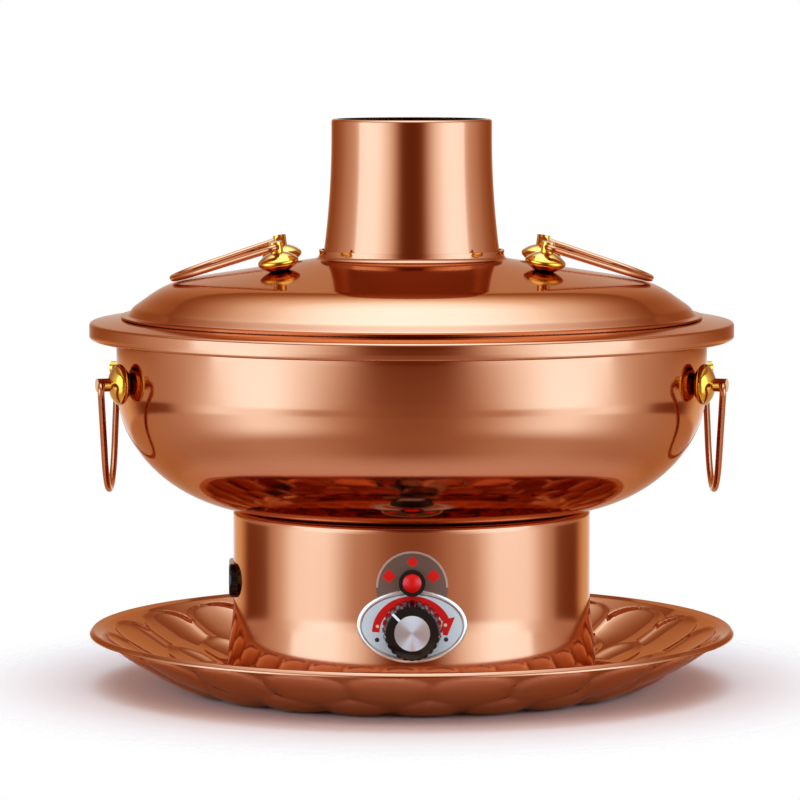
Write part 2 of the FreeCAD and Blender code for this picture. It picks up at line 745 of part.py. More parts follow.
def base_cover():
    """Bottom cover with a turned-up rim inside the drum and a ring of vent slots."""
    r = DRUM_FOOT_R - DRUM_SHEET - COVER_GAP
    cover = spun_sheet([
        (0, DRUM_FOOT_Z, 0),
        (r, DRUM_FOOT_Z, 2 * COVER_T),
        (r, DRUM_FOOT_Z + COVER_RIM, 0),
    ], COVER_T)
    for i in range(SLOTS):
        slot = Part.makeBox(SLOT_L, SLOT_W, BIG, V(SLOT_CIRCLE_R - SLOT_L / 2, -SLOT_W / 2, -BIG / 2))
        slot.rotate(ORIGIN, UP, 360.0 * i / SLOTS)
        cover = cover.cut(slot)
    for stud in stud_rods(STUD_R):
        cover = cover.cut(stud)
    return cover


def rubber_feet():
    """Four feet between the cover and the tray's floor."""
    height = DRUM_FOOT_Z - TRAY_SHEET
    places = [polar(DRUM_FOOT_R - FOOT_IN, angle, TRAY_SHEET) for angle in FOOT_ANGLES]
    return [Part.makeCone(FOOT_R - FOOT_TAPER, FOOT_R, height, place, UP) for place in places]


def terminal_block():
    return Part.makeBox(*BLOCK_SIZE, V(BLOCK_PLACE[0], BLOCK_PLACE[1], cover_top()))


# ---------------------------------------------------------------- lid

def lid_corners():
    """Corners of the lid's outer face, from its edge in to the top of its neck."""
    edge_r = MOUTH_R + LID_LAP
    shoulder = (edge_r - BRIM_W - SHOULDER_W, LID_EDGE_Z + BRIM_RISE + SHOULDER_RISE)
    crown = (shoulder[0] - DOME_W, shoulder[1] + DOME_RISE)
    neck_z = crown[1] + LID_NECK_RISE
    collar_foot_z = neck_z + LID_NECK_UP - COLLAR_DROP
    neck_r = chimney_radius(collar_foot_z) + COLLAR_GAP + COLLAR_SHEET + LID_SHEET
    return [
        (edge_r, LID_EDGE_Z, 0),
        (edge_r - BRIM_W, LID_EDGE_Z + BRIM_RISE, LID_BRIM_BEND_R),
        (*shoulder, LID_SHOULDER_BEND_R),
        (*crown, LID_CROWN_BEND_R),
        (neck_r, neck_z, LID_NECK_BEND_R),
        (neck_r, neck_z + LID_NECK_UP, 0),
    ]


def lid_dome():
    """Spun ring-shaped dome: brim, shoulder, long shallow crown and a neck at the chimney."""
    return spun_sheet(lid_corners(), LID_SHEET)


def lid_collar():
    """Ferrule in the lid's neck, with a bead over the neck's edge."""
    top = lid_corners()[-1]
    out_r = top[0] - LID_SHEET
    in_r = out_r - COLLAR_SHEET
    return spun_block([
        (in_r, top[1] - COLLAR_DROP), (out_r, top[1] - COLLAR_DROP), (out_r, top[1]),
        (in_r + COLLAR_BEAD_W, top[1]), (in_r + COLLAR_BEAD_W, top[1] + COLLAR_BEAD_H),
        (in_r, top[1] + COLLAR_BEAD_H),
    ])


def lid_locating_ring():
    """Ring under the lid that drops inside the bowl's mouth."""
    out_r = MOUTH_R - RING_GAP
    top = LID_EDGE_Z + BRIM_RISE
    ring = spun_block([
        (out_r - RING_SHEET, LID_EDGE_Z - RING_H), (out_r, LID_EDGE_Z - RING_H),
        (out_r, top), (out_r - RING_SHEET, top),
    ])
    return ring.cut(lid_dome())


def crown_slope():
    """Fall of the lid's crown in degrees, and its outer face's height on the axis."""
    outer, inner = lid_corners()[3], lid_corners()[4]
    fall = (inner[1] - outer[1]) / (outer[0] - inner[0])
    return math.degrees(math.atan(fall)), outer[1] + outer[0] * fall


# ---------------------------------------------------------------- balls and bails

def ball_stud(seat, normal, thickness, hole_height):
    """Turned ball on a seat, with a short neck on its pole, drilled along Y."""
    half = (thickness + BALL_SINK) / 2
    pole_r, side_r = oval_radii(BALL_R, half)
    bend = math.tan(math.radians(22.5))
    profile = corner_path([
        (0, -half, 0),
        (bend * pole_r, -half, pole_r),
        (BALL_R, -bend * side_r, side_r),
        (BALL_R, bend * side_r, side_r),
        (bend * pole_r, half, pole_r),
        (0, half, 0),
    ])
    axis = Part.LineSegment(UP * half, UP * -half).toShape()
    ball = spun(Part.Face(Part.Wire(profile.Edges + [axis])))
    ball.translate(UP * (thickness - half))
    neck = rod(STUD_NECK_R, hole_height + STUD_TOP - thickness / 2, UP * (thickness / 2), UP)
    stud = ball.fuse(neck)
    stud.Placement = FreeCAD.Placement(seat, FreeCAD.Rotation(UP, normal))
    centre = seat + normal * hole_height
    hole = rod(WIRE_R + PIN_GAP, BIG, centre - V(0, BIG / 2, 0), V(0, 1, 0))
    return stud.cut(hole)


def bowl_ball_frame(side, end):
    """Seat and outward normal of a ball on the bowl: side is +1 or -1 in X, end in Y."""
    a = math.radians(BOWL_BALL_ANGLE)
    normal = V(side * math.cos(a), end * math.sin(a), 0)
    return normal * BOWL_R + UP * (BOWL_WALL_Z + BOWL_BALL_UP), normal


def lid_ball_frame(side, end):
    """Seat and normal of a ball on the lid's crown."""
    slope, apex = crown_slope()
    r = math.hypot(LID_BALL_X, LID_BALL_Y)
    seat = V(side * LID_BALL_X, end * LID_BALL_Y, apex - r * math.tan(math.radians(slope)))
    out = V(seat.x, seat.y, 0).normalize()
    a = math.radians(slope)
    return seat, out * math.sin(a) + UP * math.cos(a)


def bail(pin_start, pin_end, depth, tip_r):
    """Wire bail in the Y-Z plane, hanging from the Y axis.

    Each end is a pin turned in, then a tight bend, a straight leg drawn towards the middle and
    half of the large arc round the tip. The leg is the tangent of the bend and of that arc.
    """
    bend_centre = V(0, pin_end, -BEND_R)
    tip_centre = V(0, 0, tip_r - depth)
    between = bend_centre - tip_centre
    lean = math.acos((tip_r - BEND_R) / between.Length) - math.atan2(between.z, between.y)
    aside = V(0, math.cos(lean), -math.sin(lean))
    half_turn = (math.pi / 2 - lean) / 2
    half = [
        V(0, pin_start, 0),
        V(0, pin_end, 0),
        bend_centre + V(0, math.cos(half_turn), math.sin(half_turn)) * BEND_R,
        bend_centre + aside * BEND_R,
        tip_centre + aside * tip_r,
    ]
    other = [V(0, -point.y, point.z) for point in half]
    edges = [
        Part.LineSegment(half[0], half[1]).toShape(),
        Part.Arc(half[1], half[2], half[3]).toShape(),
        Part.LineSegment(half[3], half[4]).toShape(),
        Part.Arc(half[4], V(0, 0, -depth), other[4]).toShape(),
        Part.LineSegment(other[4], other[3]).toShape(),
        Part.Arc(other[3], other[2], other[1]).toShape(),
        Part.LineSegment(other[1], other[0]).toShape(),
    ]
    section = Part.Wire(Part.Circle(half[0], V(0, 1, 0), WIRE_R).toShape())
    wire = Part.Wire(edges).makePipeShell([section], True, True)
    for end in (half[0], other[0]):
        wire = wire.fuse(rod(PEEN_R, PEEN_T, end, V(0, -math.copysign(1, end.y), 0)))
    return wire


def neck_reach(normal, radius):
    """How far along Y from the middle of its hole a neck can touch a rod of this radius."""
    return (STUD_NECK_R + radius * abs(normal.y)) / math.sqrt(1 - normal.y ** 2)


def bail_at(frame, hole_height, depth, tip_r, swing, side):
    """A bail on the pivot line of its two balls; swing is in degrees outwards from hanging."""
    seat, normal = frame(side, 1)
    pivot = seat + normal * hole_height
    pin_start = pivot.y - neck_reach(normal, PEEN_R) - SIDE_GAP
    pin_end = pivot.y + neck_reach(normal, WIRE_R) + SIDE_GAP
    wire = bail(pin_start, pin_end, depth, tip_r)
    wire.rotate(ORIGIN, V(0, -side, 0), swing)
    wire.translate(V(pivot.x, 0, pivot.z))
    return wire


def lid_bail_swing():
    """Swing at which a lid bail's tip rests just clear of the crown."""
    seat, normal = lid_ball_frame(1, 1)
    pivot = seat + normal * LID_BALL_HOLE
    slope, apex = crown_slope()
    a = math.radians(slope)
    height = (apex - pivot.z) * math.cos(a) - pivot.x * math.sin(a)
    drop = -height - WIRE_R - LID_BAIL_REST_GAP
    return 90 - slope - math.degrees(math.asin(drop / LID_BAIL_DEPTH))


# ---------------------------------------------------------------- build

os.makedirs("parts", exist_ok=True)

bowl_shape = bowl()
dome_shape = lid_dome()

save("drip_tray", drip_tray())
save("bowl", bowl_shape)
save("chimney", chimney())
save("chimney_base_plate", chimney_base_plate())
save("base_shell", base_shell())
save("base_cover", base_cover())
save("rubber_feet", *rubber_feet())
save("heating_plate", heating_plate())
save("heating_element", heating_element())
save("heat_shield", heat_shield())
save("clamp_studs", *stud_rods(STUD_R))
save("clamp_nuts", *stud_nuts(BOWL_FLOOR_Z - DRUM_SHEET - HEATER_RIM_T - PAN_DEPTH))
save("cover_nuts", *stud_nuts(DRUM_FOOT_Z))
save("sensor_bulb", clamped_capsule(BULB_R, BULB_L, 270))
save("thermal_fuse", clamped_capsule(FUSE_R, FUSE_L, 0))
save("thermostat_body", thermostat_body())
save("thermostat_nut", thermostat_nut())
save("thermostat_shaft", thermostat_shaft())
save("knob", knob())
save("knob_insert", knob_insert())
save("dial_plate", dial_plate())
save("indicator_label", indicator_label())
save("lamp_bezel", lamp_bezel())
save("lamp_lens", lamp_lens())
save("lamp_body", lamp_body())
save("inlet_body", inlet_body())
save("inlet_pins", *inlet_pins())
save("terminal_block", terminal_block())
save("lid_dome", dome_shape)
save("lid_collar", lid_collar())
save("lid_locating_ring", lid_locating_ring())

SIDES = {"left": -1, "right": 1}
ENDS = {"front": -1, "rear": 1}

for side_name, side in SIDES.items():
    for end_name, end in ENDS.items():
        seat, normal = bowl_ball_frame(side, end)
        stud = ball_stud(seat, normal, BOWL_BALL_T, BOWL_BALL_HOLE)
        save("bowl_ball_" + side_name + "_" + end_name, stud.cut(bowl_shape))
        seat, normal = lid_ball_frame(side, end)
        stud = ball_stud(seat, normal, LID_BALL_T, LID_BALL_HOLE)
        save("lid_ball_" + side_name + "_" + end_name, stud.cut(dome_shape))
    hanging = bail_at(bowl_ball_frame, BOWL_BALL_HOLE, BOWL_BAIL_DEPTH, BOWL_BAIL_TIP_R, 0, side)
    save("bowl_bail_" + side_name, hanging)
    lying = bail_at(lid_ball_frame, LID_BALL_HOLE, LID_BAIL_DEPTH, LID_BAIL_TIP_R, lid_bail_swing(), side)
    save("lid_bail_" + side_name, lying)
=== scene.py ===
import json
import math

import bmesh
import bpy
import numpy as np
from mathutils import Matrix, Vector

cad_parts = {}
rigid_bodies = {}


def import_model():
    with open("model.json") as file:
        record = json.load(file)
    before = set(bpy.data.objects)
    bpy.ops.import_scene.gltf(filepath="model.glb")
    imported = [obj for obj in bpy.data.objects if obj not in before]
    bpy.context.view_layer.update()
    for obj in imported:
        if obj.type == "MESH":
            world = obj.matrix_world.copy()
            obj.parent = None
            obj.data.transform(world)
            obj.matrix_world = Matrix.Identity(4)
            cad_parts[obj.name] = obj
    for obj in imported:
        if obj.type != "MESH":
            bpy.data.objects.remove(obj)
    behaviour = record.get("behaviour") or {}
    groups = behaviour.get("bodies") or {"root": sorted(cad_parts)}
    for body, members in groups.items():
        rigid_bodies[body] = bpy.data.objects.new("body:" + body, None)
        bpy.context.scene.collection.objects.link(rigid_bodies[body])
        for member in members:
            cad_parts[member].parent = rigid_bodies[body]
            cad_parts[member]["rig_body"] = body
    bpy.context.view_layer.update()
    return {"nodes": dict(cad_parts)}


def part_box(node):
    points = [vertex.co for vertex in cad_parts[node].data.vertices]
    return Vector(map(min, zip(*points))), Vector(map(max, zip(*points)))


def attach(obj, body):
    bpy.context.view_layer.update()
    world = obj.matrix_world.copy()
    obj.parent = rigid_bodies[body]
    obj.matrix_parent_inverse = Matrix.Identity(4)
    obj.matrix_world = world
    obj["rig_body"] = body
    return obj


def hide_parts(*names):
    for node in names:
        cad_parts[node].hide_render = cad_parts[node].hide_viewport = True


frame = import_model()

MM = 0.001

# ---------------------------------------------------------------- sizes in mm, as in the part

TRAY_SHEET = 1.2
TRAY_FLOOR_R = 105.5
TRAY_WAIST = (131.0, 12.2)    # radius and height of the bend half way up the wall
TRAY_BENDS = (30.0, 90.0, 3.0)  # bend radii at the floor, the waist and the brim
TRAY_BRIM_W = 5.8
TRAY_BRIM_RISE = 2.0
TRAY_EDGE = (1.8, 1.93)       # how far the rim's slanting edge runs out and falls
TRAY_EDGE_R = 1.4
TRAY_LIP = 0.7                # upright part under the slanting edge

PETALS = 22
PETAL_PHASE = 3.6             # degrees from the front to the nearest seam of two petals
PETAL_BASE = (104.0, 12.0)    # radius where the petals begin, and how far they take to rise
PETAL_TIP = 14.0              # length of the half ellipse that closes a petal
PETAL_CORNER = 2.4            # power of the outline: 2 is an ellipse, more is squarer
PETAL_PILLOW = 0.42           # root of the face: less is flatter with steeper sides
INNER_PETAL = (131.5, 3.4)    # radius at the tips and rise of each of the two rings
OUTER_PETAL = (152.5, 2.0)

BOWL_SHEET = 1.5
BOWL_FLAT_R = 78.6
BOWL_HOLE_R = 52.0
BOWL_SIDE_R = 146.6
BOWL_WALL_Z = 150.0           # height at which the oval turn ends and the wall is upright
BOWL_NECK = (174.5, 178.0)    # heights between which the wall draws in to the mouth
BOWL_MOUTH_R = 141.7
FLANGE_FALL = 7.5             # degrees
FLANGE_CREST_R = 1.8
FLANGE_EDGE_R = 1.7
FLANGE_LIP_H = 10.3
FLANGE_CURL = (2.2, 1.6)      # how far the lip's foot is rolled in, and the roll's radius

CHIMNEY_SHEET = 1.5
CHIMNEY_FOOT_R = 57.4
CHIMNEY_FOOT_W = 5.0          # width of the foot's turned-out rim
CHIMNEY_TOP_R = 39.8
CHIMNEY_FLARE = (143.0, 229.6)  # heights of the flare's two corners
CHIMNEY_EDGE_R = 1.4
CHIMNEY_LIP_IN = 2.8          # width of the mouth's turned-in rim

LID_SHEET = 0.9
LID_RUNS = ((3.4, 0.4), (3.0, 3.7), (16.5, 11.6))  # width and rise of each, from the edge in
LID_CROWN_RISE = 12.3
LID_NECK_UP = 3.2
LID_BENDS = (1.5, 8.0, 44.0, 3.0)  # bend radii at the ends of the runs and at the neck
COLLAR_PAST_NECK = 0.2        # collar's bead past the outside of the lid's neck

DRUM_SHEET = 1.0
DRUM_R = 89.0
DRUM_SEAT_R = 66.0
DRUM_EDGE_R = 3.0
DRUM_FLARE = (16.5, 35.5)     # heights of the flare's two corners

PLATE_T = 1.0
PLATE_HALF = (26.5, 17.5)     # half width and half height of the oval
PLATE_Z = 40.4
PLATE_BEAD = (1.2, 0.45)      # half width and height of its bright edge
LABEL_T = 0.4
LABEL_R = 17.3
LABEL_Z = 59.3
LABEL_RIM_W = 1.0
KNOB_Z = 39.0
LAMP_Z = 61.4
INLET_Z = 53.0
INLET_TURN = 2.0              # degrees from -X towards the front
BUSH_HOLE_R = 4.9
LAMP_HOLE_R = 4.2
LAMP_CLEAR_R = 6.6            # kept free for the lamp's bezel
INLET_HOLE = (31.6, 13.6)     # width and height
INK_T = 0.05

# Printing, in mm: across the front from the middle, and height over the table.
DIAL_BAND = {"centre_z": 36.8, "inner": (15.7, 14.6), "outer": (19.3, 18.2),
             "start": 178, "end": 24}
DIAL_ARROW = [(20.6, 44.6), (17.0, 35.8), (14.9, 36.0), (14.2, 40.0), (15.0, 43.6)]
DIAL_DOTS = [(-16.6, 40.2), (16.0, 40.8)]
DIAL_DOT_R = 0.8
DIAL_MARKS = [(-16.8, 33.7), (16.3, 33.9)]
DIAL_MARK_R = 1.1
LABEL_LOZENGES = [(-11.1, 64.5, 6.8), (0.2, 71.4, 5.6), (10.2, 64.5, 6.8)]  # place and width
POINTER_REACH = (8.6, 13.3)   # from the knob's middle
POINTER_HALF_W = 0.6
POINTER_TURN = 135            # degrees, half past ten

# ---------------------------------------------------------------- meshing

WELD = 1e-7                   # points of a made mesh closer than this, in m, are one
CAD_WELD = 2e-6
SHARP = math.radians(35)      # edges that turn by more stay sharp
NO_LENGTH = 1e-5              # edges shorter than this, in mm, have no rim quad
ARC_STEP = 0.12               # most an arc turns from one point to the next, in radians
COARSE_ROWS = 12              # of so many rows one stays where a sheet is flat and plain


def node_top(node):
    """Height of a node's highest point, in mm."""
    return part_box(node)[1].z / MM


def node_foot(node):
    """Height of a node's lowest point, in mm."""
    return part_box(node)[0].z / MM


def node_radius(node):
    """Largest reach of a round node from the axis, in mm."""
    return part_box(node)[1].x / MM


# ---------------------------------------------------------------- surfaces

def rounded_path(corners, step):
    """Points and left-hand normals of a path in the r-z plane.

    Each corner (r, z, radius) is replaced by the arc of that radius which is tangent to both its
    sides. Straight stretches are divided so that no two points lie further apart than step.
    """
    corner = np.array([c[:2] for c in corners], float)
    points, normals = [], []

    def straight(start, end):
        along = end - start
        length = np.hypot(*along)
        if length < NO_LENGTH:
            return
        share = np.linspace(0, 1, max(2, int(math.ceil(length / step)) + 1))
        points.append(start + share[:, None] * along)
        normals.append(np.tile([-along[1] / length, along[0] / length], (len(share), 1)))

    last = corner[0]
    for i in range(1, len(corners) - 1):
        before = (corner[i - 1] - corner[i]) / np.hypot(*(corner[i - 1] - corner[i]))
        after = (corner[i + 1] - corner[i]) / np.hypot(*(corner[i + 1] - corner[i]))
        half = math.acos(np.clip(before @ after, -1, 1)) / 2
        radius = corners[i][2]
        back = radius / math.tan(half)
        middle = (before + after) / np.hypot(*(before + after))
        centre = corner[i] + middle * (radius / math.sin(half))
        start, end = corner[i] + before * back, corner[i] + after * back
        straight(last, start)
        a0 = math.atan2(*(start - centre)[::-1])
        a1 = math.atan2(*(end - centre)[::-1])
        turn = (a1 - a0 + math.pi) % (2 * math.pi) - math.pi
        count = max(5, int(abs(turn) * radius / step) + 2, int(abs(turn) / ARC_STEP) + 2)
        angle = a0 + np.linspace(0, turn, count)[1:-1]
        ray = np.stack([np.cos(angle), np.sin(angle)], 1)
        points.append(centre + radius * ray)
        normals.append(-ray if turn > 0 else ray)
        last = end
    straight(last, corner[-1])
    return np.concatenate(points), np.concatenate(normals)


def oval_radii(width, height):
    """Radii of the two arcs of a quarter oval that meet at 45 degrees: end arc and side arc.

    An eighth of a circle runs the root of a half of its radius one way and the rest of its radius
    the other way. The two arcs' runs add up to the oval's width and to its height.
    """
    k = math.sqrt(0.5)
    rows = np.array([[1 - k, k], [k, 1 - k]])
    side, end = np.linalg.solve(rows, [width, height])
    return end, side


def flare_radius(width, height):
    """Radius of two equal arcs that share a slanting run, each taking half of it.

    It is half the run's length over the tangent of half the run's lean from upright.
    """
    return math.hypot(width, height) / 2 / math.tan(math.atan2(width, height) / 2)


def over_arc(radius, rise, fall=None):
    """How far a corner lies above the top of its arc.

    A rising slope turns there into a falling one or, where no fall is given, an upright face.
    """
    inward = 1.0 if fall is None else (math.hypot(1, fall) - math.hypot(1, rise)) / (rise + fall)
    return radius * (math.hypot(1, rise) - 1 + rise * inward)


def drum_radius(z):
    """Outer radius of the drum: upright, then two tangent arcs out to the foot.

    An arc leaves its upright by its radius less the root of its radius squared less the square
    of the height from where it starts.
    """
    low_z, high_z = DRUM_FLARE
    out = node_radius("base_shell") - DRUM_R
    reach = math.hypot(out, high_z - low_z) / 2
    arc_r = flare_radius(out, high_z - low_z)
    above = np.clip(high_z + reach - z, 0, None)
    below = np.clip(z - low_z + reach, 0, None)
    upper = DRUM_R + arc_r - np.sqrt(np.clip(arc_r ** 2 - above ** 2, 0, None))
    lower = DRUM_R + out - arc_r + np.sqrt(np.clip(arc_r ** 2 - below ** 2, 0, None))
    return np.where(z >= (low_z + high_z) / 2, upper, lower)


def mesh_piece(name, points, faces, material, body):
    """Object from points in mm and quads, welded, faces outwards, smooth but for sharp edges."""
    mesh = bpy.data.meshes.new(name)
    mesh.from_pydata((np.asarray(points) * MM).tolist(), [], np.asarray(faces).tolist())
    work = bmesh.new()
    work.from_mesh(mesh)
    bmesh.ops.remove_doubles(work, verts=work.verts, dist=WELD)
    bmesh.ops.recalc_face_normals(work, faces=work.faces)
    work.to_mesh(mesh)
    work.free()
    return smooth_piece(name, mesh, material, body)


def smooth_piece(name, mesh, material, body):
    """Links a mesh as an object that rides on a body, smooth but for its sharp edges."""
    mesh.polygons.foreach_set("use_smooth", np.ones(len(mesh.polygons), bool))
    mesh.set_sharp_from_angle(angle=SHARP)
    mesh.materials.clear()
    mesh.materials.append(material)
    piece = bpy.data.objects.new(name, mesh)
    bpy.context.scene.collection.objects.link(piece)
    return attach(piece, body)


def slab(name, near, far, material, body, round_columns=False, kept=None):
    """Closed solid between two grids of points, the near and the far skin.

    Both skins have rows by columns points; with round_columns the last column joins the first.
    kept says which cells are there. Wherever a cell that is there meets one that isn't, or the
    grid's own edge, a quad joins the two skins.
    """
    rows, columns = near.shape[:2]
    index = np.arange(rows * columns).reshape(rows, columns)
    if round_columns:
        index = np.concatenate([index, index[:, :1]], 1)
    if kept is None:
        kept = np.ones((rows - 1, index.shape[1] - 1), bool)
    points = np.concatenate([near.reshape(-1, 3), far.reshape(-1, 3)])
    other = rows * columns
    cell = np.stack([index[:-1, :-1], index[1:, :-1], index[1:, 1:], index[:-1, 1:]], -1)[kept]
    by_row = np.pad(kept, ((1, 1), (0, 0)))
    row_edge = np.stack([index[:, :-1], index[:, 1:]], -1)[by_row[1:] ^ by_row[:-1]]
    if round_columns:
        by_column = np.concatenate([kept[:, -1:], kept], 1)
        along = np.stack([index[:-1, :-1], index[1:, :-1]], -1)
    else:
        by_column = np.pad(kept, ((0, 0), (1, 1)))
        along = np.stack([index[:-1], index[1:]], -1)
    column_edge = along[by_column[:, 1:] ^ by_column[:, :-1]]
    edge = np.concatenate([row_edge, column_edge])
    length = np.linalg.norm(points[edge[:, 0]] - points[edge[:, 1]], axis=1)
    edge = edge[length > NO_LENGTH]
    rim = np.concatenate([edge, edge[:, ::-1] + other], 1)
    faces = np.concatenate([cell, cell[:, ::-1] + other, rim])
    return mesh_piece(name, points, faces, material, body)


def spun_sheet(name, corners, thickness, material, body, turns, step, relief=None, holes=None,
               coarse_inside=0.0):
    """Sheet of one thickness, spun round the Z axis from a rounded path.

    The two skins are the path and the same path moved by thickness to its left. relief(r, angle)
    moves both along the path's normal, holes(angle, z, r) leaves cells out, and within
    coarse_inside of the axis only every COARSE_ROWS-th row stays.
    """
    path, normal = rounded_path(corners, step)
    stay = (path[:, 0] >= coarse_inside) | (np.arange(len(path)) % COARSE_ROWS == 0)
    path, normal = path[stay], normal[stay]
    angle = np.linspace(0, 2 * math.pi, turns, endpoint=False)
    lift = np.zeros((len(path), turns))
    if relief is not None:
        lift = relief(path[:, 0][:, None], angle[None, :])

    def skin(offset):
        reach = offset + lift
        r = path[:, 0, None] + normal[:, 0, None] * reach
        z = path[:, 1, None] + normal[:, 1, None] * reach
        r = np.where(path[:, 0, None] < NO_LENGTH, 0, r)
        return np.stack([r * np.cos(angle), r * np.sin(angle), z], -1)

    kept = None
    if holes is not None:
        middle_z = (path[:-1, 1] + path[1:, 1])[:, None] / 2
        kept = ~holes(angle[None, :] + math.pi / turns, middle_z, path[:-1, 0][:, None])
    return slab(name, skin(0), skin(thickness), material, body, True, kept)


def polished(node, material):
    """Smooth copy of a CAD node's mesh, welded, standing for the node."""
    source = frame["nodes"][node]
    mesh = source.data.copy()
    work = bmesh.new()
    work.from_mesh(mesh)
    bmesh.ops.remove_doubles(work, verts=work.verts, dist=CAD_WELD)
    work.to_mesh(mesh)
    work.free()
    if "custom_normal" in mesh.attributes:
        mesh.attributes.remove(mesh.attributes["custom_normal"])
    piece = smooth_piece(node + "_smooth", mesh, material, source["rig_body"])
    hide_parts(node)
    return piece


# ---------------------------------------------------------------- materials

def linear(hex_colour):
    """sRGB hex value to linear RGBA."""
    value = np.array([int(hex_colour[i:i + 2], 16) for i in (1, 3, 5)]) / 255
    value = np.where(value <= 0.04045, value / 12.92, ((value + 0.055) / 1.055) ** 2.4)
    return (*value.tolist(), 1.0)


def add(tree, kind, values=None, links=None, **settings):
    """Adds a node, sets its properties and socket values, and links sockets from other nodes."""
    node = tree.nodes.new(kind)
    for key, value in settings.items():
        setattr(node, key, value)
    for key, value in (values or {}).items():
        node.inputs[key].default_value = value
    for key, (other, socket) in (links or {}).items():
        tree.links.new(other.outputs[socket], node.inputs[key])
    return node


def start_material(name):
    """Empty node material and its object coordinates."""
    material = bpy.data.materials.new(name)
    material.use_nodes = True
    tree = material.node_tree
    tree.nodes.clear()
    return material, tree, add(tree, "ShaderNodeTexCoord")


def finish_material(tree, shader):
    """Links a shader to the surface of a new output."""
    add(tree, "ShaderNodeOutputMaterial", links={"Surface": (shader, "BSDF")})


def grained(name, dark, light, grain_mm, rough, shader_values, bump=0.0):
    """Surface whose colour drifts between two near tones and whose roughness drifts with it.

    A soft noise, one grain per grain_mm, mixes the two tones and spans the two roughness values;
    a second, ten times finer, gives the bump.
    """
    material, tree, coords = start_material(name)
    drift = add(tree, "ShaderNodeTexNoise", {"Scale": 1 / (grain_mm * MM), "Detail": 2.0},
                {"Vector": (coords, "Object")})
    tone = add(tree, "ShaderNodeMix", {6: linear(dark), 7: linear(light)},
               {0: (drift, "Fac")}, data_type="RGBA")
    spread = add(tree, "ShaderNodeMapRange", {"To Min": rough[0], "To Max": rough[1]},
                 {"Value": (drift, "Fac")})
    shader = add(tree, "ShaderNodeBsdfPrincipled", shader_values,
                 {"Base Color": (tone, 2), "Roughness": (spread, "Result")})
    if bump:
        fine = add(tree, "ShaderNodeTexNoise", {"Scale": 10 / (grain_mm * MM), "Detail": 3.0},
                   {"Vector": (coords, "Object")})
        relief = add(tree, "ShaderNodeBump", {"Strength": bump, "Distance": 0.0001},
                     {"Height": (fine, "Fac")})
        tree.links.new(relief.outputs["Normal"], shader.inputs["Normal"])
    finish_material(tree, shader)
    return material


def plain(name, colour, rough, shader_values):
    """Even surface: a moulded, printed or painted one with a very slight change of gloss."""
    return grained(name, colour, colour, 12.0, (rough * 0.94, rough * 1.06), shader_values)


# Copper coating keeps its red where it is seen edge on, instead of going white as a dielectric.
COPPER = {"Metallic": 1.0, "Specular Tint": (0.86, 0.55, 0.38, 1.0)}

# Copper-coloured coating on mirror-polished stainless: deep, warm, sharp reflections.
COPPER_MIRROR = grained("copper coating, mirror polished", "#C98360", "#CD8764", 40.0,
                        (0.05, 0.07), COPPER)
# The same coating on sheet polished after spinning: the edges of mirrored things soften a little.
COPPER_POLISHED = grained("copper coating, polished", "#C98360", "#CD8764", 40.0,
                          (0.08, 0.11), COPPER)
# The same coating on brushed sheet, where it is out of sight.
COPPER_BRUSHED = grained("copper coating, brushed", "#C8825F", "#CC8663", 6.0,
                         (0.24, 0.32), COPPER)
# The coating on drawn wire.
COPPER_WIRE = grained("copper coating on drawn wire", "#C77D55", "#CF855D", 8.0,
                      (0.14, 0.20), COPPER)
# Turned and lacquered brass: yellow, with sharp bright points.
BRASS = grained("lacquered brass, turned and polished", "#D99A22", "#E8AC38", 10.0,
                (0.09, 0.14), {"Metallic": 1.0, "Coat Weight": 0.5, "Coat Roughness": 0.04})
# Plain stainless sheet as rolled.
STAINLESS = grained("stainless steel, mill finish", "#B9B6B0", "#C4C1BB", 6.0,
                    (0.32, 0.42), {"Metallic": 1.0}, bump=0.05)
# Sand-cast aluminium.
CAST_ALUMINIUM = grained("aluminium, as cast", "#A5A5A4", "#B5B5B4", 3.0,
                         (0.45, 0.6), {"Metallic": 1.0}, bump=0.25)
# Phenolic moulding: black and glossy.
PHENOLIC = grained("phenolic moulding, black", "#0B0A0A", "#111010", 5.0,
                   (0.13, 0.18), {"Metallic": 0.0}, bump=0.03)
# Heat-resistant nylon moulding, cream.
NYLON = plain("nylon moulding, cream", "#CFC8B4", 0.5, {})
# Silicone rubber, matt.
RUBBER = plain("silicone rubber, black", "#141312", 0.75, {})
# Aluminium sheet under a satin silver lacquer: part mirror, part paint.
DIAL_SILVER = grained("aluminium dial plate, silver lacquered", "#D6D9D8", "#E0E3E2", 4.0,
                      (0.34, 0.42), {"Metallic": 0.35}, bump=0.02)
# Its rolled edge, left bright.
DIAL_EDGE = plain("aluminium dial edge, polished", "#EDEEEE", 0.16, {"Metallic": 0.85})
# Screen-printed inks.
RED_INK = plain("screen ink, red", "#E01208", 0.5, {"Specular IOR Level": 0.2})
BLACK_INK = plain("screen ink, black", "#161414", 0.45, {})
WHITE_INK = plain("screen ink, white", "#F3F1EC", 0.45, {})
CREAM_INK = plain("screen ink, cream", "#F0CFA0", 0.45, {})
# Polyester film, smoked, that lets the copper's warmth through.
SMOKED_FILM = plain("polyester film, smoked", "#7C6155", 0.24, {"Metallic": 0.5})
# Its cut edge, paler.
FILM_EDGE = plain("polyester film, cut edge", "#C29A85", 0.3, {"Metallic": 0.3})
# Moulded acrylic lens: clear red, bright where it catches the light.
RED_ACRYLIC = plain("acrylic lens, red", "#E01008", 0.3, {"Specular IOR Level": 0.35})


